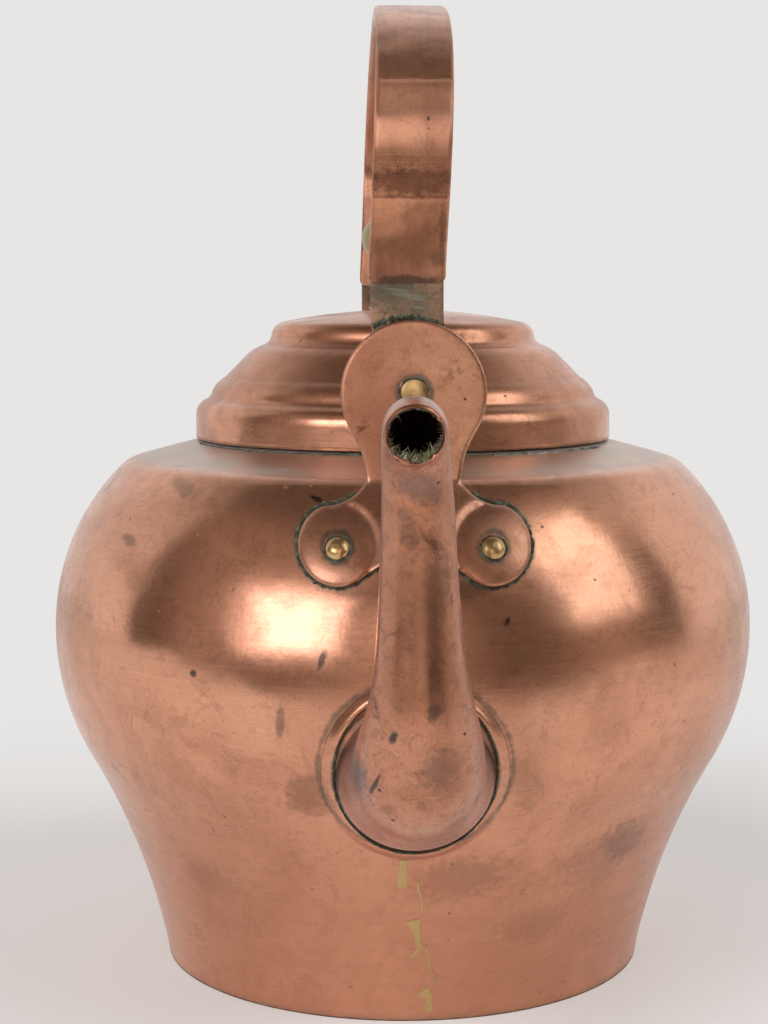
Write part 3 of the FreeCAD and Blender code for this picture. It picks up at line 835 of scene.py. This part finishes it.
BOSS_TURNS = 180
BOSS_H = 1.9
boss = []
for j in range(BOSS_TURNS):
    a = math.tau * j / BOSS_TURNS
    out_r = 1 / math.hypot(math.sin(a) / (COLLAR_OUT - 0.1), math.cos(a) / COLLAR_LOW)
    in_r = collar_inner(a)
    waver = 0.16 * noise.noise(Vector((math.sin(a) * 3, math.cos(a) * 3, 1)))
    wide = out_r - in_r
    section = [(out_r, -0.5), (out_r - 0.03, 0.10)]
    section += [(out_r - wide * t, 0.10 + BOSS_H * math.sin(math.pi / 2 * min(1.0, t * 1.25)) ** 1.3)
                for t in (0.1, 0.2, 0.32, 0.45, 0.58, 0.7, 0.82)]
    section += [(in_r + 0.35, 1.92), (in_r + 0.08, 1.7), (in_r, 1.2), (in_r - 0.3, 0.75), (in_r - 1.6, 0.8),
                (in_r - 3.2, 1.3), (in_r - 3.4, -0.5)]
    boss += [tuple(around_spout(rho + waver, a, h)) for rho, h in section]
piece("spout_boss", boss, grid_faces(BOSS_TURNS, len(section), True, True), BODY, body_copper,
      ["spout_collar"], sharp=60)


# ---------------------------------------------------------------- brackets and pivots

def bracket_outline():
    """Trefoil outline in x and z, counter-clockwise."""
    turn = math.radians(32)
    side = (DISC_R * math.cos(turn), DISC_Z - DISC_R * math.sin(turn))
    lobe, tip, inner = [(LOBE_X + LOBE_R * math.cos(t), LOBE_Z + LOBE_R * math.sin(t))
                        for t in (math.radians(70), -0.6, math.radians(-130))]
    arch = inner[1] + inner[0] * math.tan(math.radians(20))
    half = outline((0.0, DISC_Z + DISC_R), (DISC_R, DISC_Z, *side), (15.4, 180.0, 14.2, 172.0),
                   (19.3, 167.2, *lobe), (*tip, *inner), (8.6, arch - 1.6, 0.0, arch), step=0.9)
    whole = half + [(-x, z) for x, z in half[-2:0:-1]]
    return whole[::-1]


def bracket_place(x, z, h):
    """Where a bracket's point lies: upright above the fold, on the wall below it."""
    d = math.hypot(abs(x) - LOBE_X, z - LOBE_Z)
    edge = max(0.0, (d - 5.0) / (LOBE_R - 5.0))
    if d > LOBE_R:
        edge = max(0.0, 1 - (d - LOBE_R) / 2.6)
    if h > 1.0:
        h -= 0.95 * edge * edge
    flat = BRACKET_Y + h
    r = bow(z, h)
    wall = math.sqrt(max(r * r - x * x, 1.0))
    return (x, -(flat + wall + math.sqrt((flat - wall) ** 2 + 1.6)) / 2, z)


def front_and_rear(name, verts, faces, body_name, material, node, sharp=35):
    """The same piece at the front and mirrored at the rear."""
    piece("front_" + name, verts, faces, body_name, material, ["front_" + node], sharp)
    behind = [(x, -y, z) for x, y, z in verts]
    piece("rear_" + name, behind, faces, body_name, material, ["rear_" + node], sharp)


eye = circle(0.0, PIVOT_Z, 3.4, 40)
verts, faces = plate(bracket_outline(), eye, BRACKET_T - 0.1, bracket_place, 1.5, 0.7, 1.1)
front_and_rear("bracket_plate", verts, faces, BODY, bracket_copper, "bracket", sharp=40)


def wall_direction(x, z):
    """Place on the upper wall at x and z, at the front, and the outward direction there."""
    r = bow(z)
    place = Vector((x, -math.sqrt(r * r - x * x), z))
    slope = (z - BELLY_Z) / BOW_R
    level = math.sqrt(1 - slope * slope)
    return place, Vector((place.x / r * level, place.y / r * level, slope))


RIVET_TAIL = 1.5
seat = BRACKET_T + WALL + RIVET_TAIL
rivet_line = outline((0.0, -1.55), (2.0, -1.55), (2.3, -1.2), (2.3, seat), (3.45, seat), (3.6, seat + 0.25),
                     (2.4, seat + 1.5, 0.0, seat + 2.0), step=0.5)
rivets, rivet_faces = [], []
for x in (-RIVET_X, RIVET_X):
    place, out = wall_direction(x, RIVET_Z)
    verts, faces = lathe(rivet_line, 48, False)
    verts = [(px * (1 + 0.03 * noise.noise(Vector((px, py, x)))), py, pz) for px, py, pz in verts]
    base = len(rivets)
    rivets += rotated(verts, facing(out, place - out * (WALL + RIVET_TAIL - 0.05)))
    rivet_faces += [tuple(base + k for k in f) for f in faces]
front_and_rear("rivet_heads", rivets, rivet_faces, BODY, rivet_brass, "bracket_rivets")

ear_in = EAR_OUT - EAR_T
burr_in = ear_in - 0.3 - 1.4
face = BRACKET_Y + BRACKET_T
pin_line = outline((0.0, burr_in - 1.0), (3.9, burr_in - 1.0), (4.4, burr_in), (3.4, burr_in + 0.01),
                   (3.4, face - 0.1), (3.9, face - 0.1), (4.1, face + 0.2), (3.8, face + 0.75),
                   (2.4, face + 1.0, 0.0, face + 1.1), step=0.5)
verts, faces = lathe(pin_line, 56, False)
verts = rotated(verts, Matrix.Translation((0, 0, PIVOT_Z)) @ Matrix.Rotation(math.radians(90), 4, "X"))
front_and_rear("pin", verts, faces, BODY, rivet_brass, "pivot_pin")


# ---------------------------------------------------------------- handle

leg = [(0.0, -y, z) for y, z in GRIP_LEG]
GRIP_POINTS = leg + [(0.0, 0.0, GRIP_TOP)] + [(0.0, -y, z) for _, y, z in reversed(leg)]
grip_place, grip_along = spline(GRIP_POINTS, 900)
grip_length = np.concatenate([[0], np.cumsum(np.linalg.norm(np.diff(grip_place, axis=0), axis=1))])


def lean(z):
    """Sideways lean of the hand-made handle at a height: none at the pivots."""
    return float(np.interp(z, (200.0, 222.0, 236.0, 258.0, 300.0, 324.0), (0.0, -1.9, -1.9, -0.9, 0.6, 1.4)))


def on_grip(s, x, depth):
    """Point of the strap: s along it, x across it, depth under its outer face."""
    y, z, ay, az = [float(np.interp(s, grip_length, rows[:, q]))
                    for rows in (grip_place, grip_along) for q in (1, 2)]
    size = math.hypot(ay, az)
    return (x, y + az / size * depth, z - ay / size * depth)


def grip_section(width, deep, shallow, radius, count=6):
    """Rounded rectangle (x, depth) between two depths, clockwise from its upper right corner."""
    half = width / 2
    left, right, top, low = radius - half, half - radius, shallow + radius, deep - radius
    points = []
    corners = ((right, top, 0, 5, (half, low)), (right, low, 1, 14, (left, deep)),
               (left, low, 2, 5, (-half, top)), (left, top, 3, 14, (right, shallow)))
    for cx, cd, quarter, across, ends in corners:
        for k in range(count + 1):
            t = math.pi / 2 * (quarter + k / count)
            points.append((cx + radius * math.sin(t), cd - radius * math.cos(t)))
        points += straight(points[-1], ends, across)[:-1]
    return points


outer_section = grip_section(GRIP_W - 0.1, GRIP_T - 0.05, 0.05, 1.5)
inner_section = grip_section(GRIP_W - 2 * GRIP_WALL, GRIP_T - GRIP_WALL, GRIP_WALL, 0.7)
FOLDS = ((290.5, 0.24), (255.5, 0.09))  # height and rise of each ridge
END_R = 2.6  # rounding of the strap's ends
total = grip_length[-1]
leg_z = grip_place[:len(grip_place) // 2, 2]
fold_s = []
for z, tall in FOLDS:
    near = float(np.interp(z, leg_z, grip_length[:len(leg_z)]))
    fold_s += [(near, tall), (total - near, tall)]
shares = {i / 299 for i in range(300)}
shares |= {(s + d) / total for s, _ in fold_s for d in (-0.9, -0.6, -0.4, -0.2, 0.0, 0.2, 0.4, 0.6, 0.9)}
shares = sorted(shares)


def fold(s, x):
    """Height of the small ridge where the strap was bent."""
    rise = sum(tall * max(0.0, 1 - (abs(s - at) / 0.8) ** 2) for at, tall in fold_s)
    return rise * (0.8 + 0.5 * noise.noise(Vector((x / 3.0, s, 0))))


verts = []
for section, rows in ((outer_section, shares), (inner_section, shares[::-1])):
    for share in rows:
        for x, d in section:
            edge = max(0.0, abs(x) - (GRIP_W / 2 - END_R))
            start = END_R - math.sqrt(max(END_R ** 2 - edge ** 2, 0.0)) + 0.05
            s = start + (total - 2 * start) * share
            if section is outer_section:
                here = Vector(on_grip(s, x, 0))
                sink = 0.28 * (0.5 + 0.5 * noise.noise(here / 17.0)) + 0.10 * noise.noise(here / 6.0)
                seam = math.exp(-(x / 0.5) ** 2) * 0.55 if d > GRIP_T / 2 else 0.0
                d = d + sink + 0.1 - fold(s, x) if d < GRIP_T / 2 else d - 0.4 * sink - seam
            px, py, pz = on_grip(s, x, max(d, 0.02))
            verts.append((px + lean(pz), py, pz))
faces = grid_faces(2 * len(shares), len(outer_section), True, True)
piece("handle_strap", verts, faces, HANDLE, handle_copper, ["handle_grip"], sharp=50)


def ear_place(x, z, h):
    """Where a point of the flat tongue lies: upright, and inside the strap along its curve."""
    depth = EAR_OUT - (ear_in + h)
    x += lean(z)
    if z <= GRIP_BOTTOM:
        return (x, -(ear_in + h), z)
    return on_grip(z - GRIP_BOTTOM, x, GRIP_WALL + 0.05 + depth)


half_ear, ear_top = EAR_W / 2 - 0.05, 254.0
ear_line = outline((half_ear, PIVOT_Z), (half_ear, ear_top), (-half_ear, ear_top), (-half_ear, PIVOT_Z),
                   (0.0, PIVOT_Z - half_ear, half_ear, PIVOT_Z), step=1.0)[:-1]
verts, faces = plate(ear_line, circle(0.0, PIVOT_Z, 3.45, 40), EAR_T, ear_place, 0.5, 0.5, 1.5)
front_and_rear("ear", verts, faces, HANDLE, ear_copper, "handle_ear", sharp=40)


# ---------------------------------------------------------------- verdigris, grime and brazing

def crusty(name, points, ways, width, height, seed, body_name, material, lumps=1.6):
    """A crusty bead as a piece."""
    verts, faces = ribbon(points, ways, width, height, seed, lumps)
    piece(name, verts, faces, body_name, material, sharp=70)


def rivet_crust(name, centre, normal, radius, width, height, seed):
    """Verdigris round the head of a rivet or pin."""
    matrix = facing(normal, centre)
    count = 110
    turns = [math.tau * i / (count - 1) for i in range(count)]
    points = [matrix @ Vector((radius * math.cos(t), radius * math.sin(t), 0)) for t in turns]
    crusty(name, points, [normal] * count, width, height, seed, BODY, green_crust)


def densify(points, pitch):
    """The polyline with points no further apart than pitch."""
    out = [points[0]]
    for a, b in zip(points, points[1:]):
        out += straight(a, b, max(1, math.ceil(math.dist(a, b) / pitch)))
    return out


CRUST_TOP = 169.0
EAR_CRUST_R = 22.5
rim = offset(bracket_outline(), -0.35, True)
start = next(i for i, q in enumerate(rim) if q[0] < 0 and q[1] > CRUST_TOP and rim[i + 1][1] <= CRUST_TOP)
rim = rim[start + 1:] + rim[:start + 1]
low_rim = densify([q for q in rim if q[1] <= CRUST_TOP], 0.5)
points = [on_wall(x, z, 0.1) for x, z in low_rim]
ways = [Vector((q.x, q.y, 0)).normalized() + Vector((0, 0, (q.z - BELLY_Z) / BOW_R)) for q in points]
for side, name in ((1, "front"), (-1, "rear")):
    mirror = Matrix.Diagonal((1, side, 1))
    crusty(name + "_bracket_verdigris", [mirror @ q for q in points], [mirror @ w for w in ways], 0.95, 0.75,
           3 + side, BODY, green_crust)
    for x, tag in ((-RIVET_X, "left"), (RIVET_X, "right")):
        place, out = [mirror @ v for v in wall_direction(x, RIVET_Z)]
        rivet_crust(name + "_rivet_verdigris_" + tag, place + out * (BRACKET_T - 0.12), out, 3.85, 0.55, 0.32,
                    11 + x + side)
    rivet_crust(name + "_pin_verdigris", (0, -side * (BRACKET_Y + BRACKET_T - 0.14), PIVOT_Z), (0, -side, 0),
                4.35, 0.5, 0.3, 21 + side)
    turns = [math.radians(62 + 56 * i / 119) for i in range(120)]
    bead = [(EAR_CRUST_R * math.cos(t) - 1.6, -side * EAR_OUT, DISC_Z + EAR_CRUST_R * math.sin(t))
            for t in turns]
    crusty(name + "_ear_verdigris", bead, [(0, -side, 0)] * len(bead), 1.2, 0.6, 31 + side, HANDLE,
           green_crust, 0.9)

ring = [around_spout(collar_inner(a) + 0.10, a, BOSS_H) for a in (math.tau * i / 400 for i in range(401))]
ways = [Vector((q.x, q.y, 0)).normalized() for q in ring]
crusty("spout_joint_verdigris", ring, ways, 0.36, 0.32, 51, BODY, green_crust)


def shoulder_lumps(name, start, end, r, width, height, seed, material):
    """Lumpy bead on the shoulder under the lid's edge, between two angles from the front."""
    count = int((end - start) * 3.5)
    turns = [math.radians(start + (end - start) * i / (count - 1)) for i in range(count)]
    points = [(r * math.sin(t), -r * math.cos(t), FOLD_Z + (FOLD_R - r) * SHOULDER_RISE) for t in turns]
    crusty(name, points, [(0.25 * math.sin(t), -0.25 * math.cos(t), 1) for t in turns], width, height, seed,
           BODY, material, 2.4)


shoulder_lumps("neck_solder_lumps", 21, 43, 72.4, 1.1, 0.75, 81, solder)
shoulder_lumps("neck_mineral_crust", 45, 62, 72.4, 1.1, 0.5, 91, pale_crust)
shoulder_lumps("neck_grime", -75, 16, 71.4, 0.5, 0.35, 95, green_crust)

MOUTH, MOUTH_R = Vector(SPOUT[-1][:3]), SPOUT[-1][3]
MOUTH_WAY = Vector(spout_along[-1][:3])
CRYSTALS = 230
right, low = spout_across(MOUTH_WAY)
if low.z > 0:
    low = -low


def round_mouth(a):
    """Direction across the mouth at angle a from its bottom."""
    return right * math.sin(a) + low * math.cos(a)


spikes, spike_faces = [], []
random.seed(5)
for i in range(CRYSTALS):
    out = round_mouth(random.gauss(0, 0.75))
    foot = MOUTH - MOUTH_WAY * random.uniform(0.4, 5.5) + out * (MOUTH_R - SPOUT_WALL - 0.25)
    tip_way = Vector([random.uniform(-0.6, 0.6) for _ in range(3)]) - out
    long = random.uniform(0.5, 1.3) * (2.4 if random.random() < 0.14 else 1.0)
    wide = random.uniform(0.16, 0.34)
    base = len(spikes)
    for k in range(4):
        q = right * math.cos(k * math.tau / 4) + MOUTH_WAY * math.sin(k * math.tau / 4)
        spikes.append(tuple(foot + q * wide))
    spikes.append(tuple(foot + tip_way.normalized() * long))
    spike_faces += [(base + k, base + (k + 1) % 4, base + 4) for k in range(4)]
    spike_faces.append((base + 3, base + 2, base + 1, base))
piece("spout_mouth_crystals", spikes, spike_faces, BODY, white_crust, sharp=20)

ways = [round_mouth(math.tau * i / 159) for i in range(160)]
points = [MOUTH - MOUTH_WAY * 0.7 + out * (MOUTH_R - 1.25) for out in ways]
crusty("spout_mouth_verdigris", points, [-out for out in ways], 1.0, 0.55, 71, BODY, pale_crust)


PATCH_PITCH, PATCH_H = 0.6, 0.10


def wall_patch(corners):
    """Flat patch between corners (x, z) that lies on the front wall."""
    flat, triangles = fill(densify(corners + corners[:1], PATCH_PITCH)[:-1], [], PATCH_PITCH)
    return [tuple(on_wall(x, z, PATCH_H)) for x, z in flat], triangles


def band(line, width):
    """Corners of a strip along a line of (x, z)."""
    return offset(line, width / 2) + offset(line, -width / 2)[::-1]


# The brazed seam, from the top down: the dovetails that show, with thin lines between them
seam, seam_faces = [], []
for corners in ([(-5.0, 47.5), (-1.5, 47.5), (-2.0, 52.0), (-1.7, 57.5), (-4.4, 57.5), (-4.7, 52.0)],
                band([(3.0, 38.5), (2.4, 44.0), (1.2, 49.7)], 0.7),
                [(0.4, 31.6), (1.4, 25.8), (-0.9, 22.3), (0.6, 22.6), (3.4, 25.4), (2.6, 31.0), (2.2, 36.6),
                 (-2.3, 34.9)],
                band([(7.4, 12.9), (5.4, 20.0), (4.4, 26.6)], 0.7),
                [(4.6, 7.2), (4.2, 3.2), (6.9, 3.0), (6.6, 9.5), (5.0, 12.0), (1.5, 9.2)]):
    verts, faces = wall_patch(corners)
    base = len(seam)
    seam += verts
    seam_faces += [tuple(base + k for k in f) for f in faces]
piece("seam_brazing", seam, seam_faces, BODY, braze, sharp=70)


# ---------------------------------------------------------------- the CAD nodes that stay

for node, material in (("base_disc", base_copper), ("base_solder", solder), ("neck_collar", neck_copper),
                       ("lid_flange", tinned), ("knob_stud", knob_brass), ("knob_nut", knob_brass),
                       *((end + fastener, tinned) for end in ("front_", "rear_")
                         for fastener in ("rivet_burrs", "pivot_burr", "pivot_spacer"))):
    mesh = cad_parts[node].data
    mesh.materials.clear()
    mesh.materials.append(material)


# ---------------------------------------------------------------- floor, light and camera

def floor():
    """A pale sheet under the kettle that fades into the backdrop."""
    mesh = bpy.data.meshes.new("floor")
    mesh.from_pydata([(-1.6, -0.385, 0), (1.6, -0.385, 0), (1.6, 1.6, 0), (-1.6, 1.6, 0)], [], [(0, 1, 2, 3)])
    obj = bpy.data.objects.new("floor", mesh)
    bpy.context.scene.collection.objects.link(obj)
    t = Tree("floor")
    t.surface(Base_Color=(0.63, 0.62, 0.615, 1), Roughness=0.85, Emission_Color=(1.0, 0.98, 0.965, 1),
              Emission_Strength=0.20)
    far = t.span(t.vector("LENGTH", t.place), 0.17, 0.46)
    seen = t.add("LightPath").outputs["Is Camera Ray"]
    fade = t.add("MixShader", ((0, t.times(far, seen)), (1, t.shader.outputs[0]),
                               (2, t.add("BsdfTransparent").outputs[0])))
    t.feed(fade.outputs[0], t.nodes["Material Output"].inputs["Surface"])
    mesh.materials.append(t.material)


class Sky(Nodes):
    """Node tree of the room round the kettle, by direction."""

    def __init__(self):
        world = bpy.data.worlds.new("studio")
        bpy.context.scene.world = world
        world.use_nodes = True
        super().__init__(world.node_tree)
        self.nodes.clear()
        self.way = self.add("TexCoord").outputs["Generated"]
        self.x, self.y, self.z = self.add("SeparateXYZ", ((0, self.way),)).outputs

    def toward(self, direction):
        return self.vector("DOT_PRODUCT", self.way, direction)

    def window(self, direction, half_width, half_height, soft):
        """Soft-edged rectangle of light in a direction."""
        middle = Vector(direction).normalized()
        side = middle.cross(Vector((0, 0, 1))).normalized()
        share = self.span(self.toward(middle), 0.0, 0.2)
        for way, half in ((side, half_width), (side.cross(middle), half_height)):
            away = self.sum("ABSOLUTE", self.toward(way))
            share = self.times(share, self.span(away, half, half + soft, 1.0, 0.0))
        return share


# Each window: direction, half width, half height, softness of its edge, and light.
WINDOWS = (((-0.70, -0.62, 0.42), 0.36, 0.36, 0.30, (0.22, 0.19, 0.17, 1)),
           ((0.0, -1.0, 0.0), 0.16, 0.22, 0.25, (0.26, 0.22, 0.19, 1)),
           ((0.03, -1.0, 0.16), 0.10, 0.20, 0.12, (0.85, 0.80, 0.74, 1)),
           ((0.92, -0.40, 0.0), 0.12, 0.10, 0.20, (0.22, 0.18, 0.15, 1)),
           ((0.62, -0.28, 0.80), 0.34, 0.12, 0.20, (0.30, 0.28, 0.26, 1)),
           ((-0.585, -0.765, 0.262), 0.20, 0.17, 0.12, (2.9, 2.8, 3.0, 1)),
           ((0.782, -0.316, 0.530), 0.21, 0.32, 0.07, (1.45, 1.50, 1.52, 1)))


def surroundings():
    """Dim room in front with soft windows, pale backdrop behind."""
    sky = Sky()
    edge = sky.sum("SUBTRACT", sky.y, sky.times(sky.sum("ABSOLUTE", sky.x), 0.16))
    edge = sky.sum("SUBTRACT", edge, sky.span(sky.z, 0.72, 0.93, 0.0, 0.30))
    room = sky.mix(sky.span(sky.z, -0.34, -0.24), (0.80, 0.70, 0.62, 1), (0.140, 0.114, 0.095, 1))
    for *shape, light in WINDOWS:
        room = sky.mix(sky.window(*shape), room, light, "ADD")
    pale = sky.mix(sky.span(sky.z, 0.45, 0.90), (0.82, 0.81, 0.805, 1), (0.33, 0.325, 0.32, 1))
    lit = sky.mix(sky.span(edge, -0.012, 0.03), room, pale)
    seen = sky.mix(sky.add("LightPath").outputs["Is Camera Ray"], lit, (0.80, 0.79, 0.785, 1))
    shade = sky.add("Background", (("Color", seen),))
    sky.add("OutputWorld", (("Surface", shade.outputs[0]),))


def softbox(name, direction, power):
    """Large light for the matt surfaces, which the polished metal does not mirror."""
    data = bpy.data.lights.new(name, "AREA")
    data.shape = "SQUARE"
    data.size = 0.7
    data.energy = power
    obj = bpy.data.objects.new(name, data)
    aim = Vector(direction).normalized()
    obj.location = Vector((0, 0, 0.12)) + aim * 1.5
    obj.rotation_mode = "QUATERNION"
    obj.rotation_quaternion = aim.to_track_quat("Z", "Y")
    obj.visible_camera = False
    obj.visible_glossy = False
    bpy.context.scene.collection.objects.link(obj)


floor()
surroundings()
softbox("left_softbox", (-0.5, -0.5, 0.75), 9.0)
softbox("right_softbox", (0.6, -0.3, 0.75), 6.0)
bpy.context.scene.view_settings.view_transform = "Standard"

lens = bpy.data.cameras.new("camera")
lens.sensor_width, lens.lens = 36.0, 68.55
lens.clip_start, lens.clip_end = 0.02, 20.0
camera = bpy.data.objects.new("camera", lens)
camera.location = (-0.0236, -0.6756, 0.227)
pitch, heading = -6.3, -1.457
camera.rotation_euler = (math.radians(90 + pitch), 0, math.radians(heading))
bpy.context.scene.collection.objects.link(camera)
bpy.context.scene.camera = camera
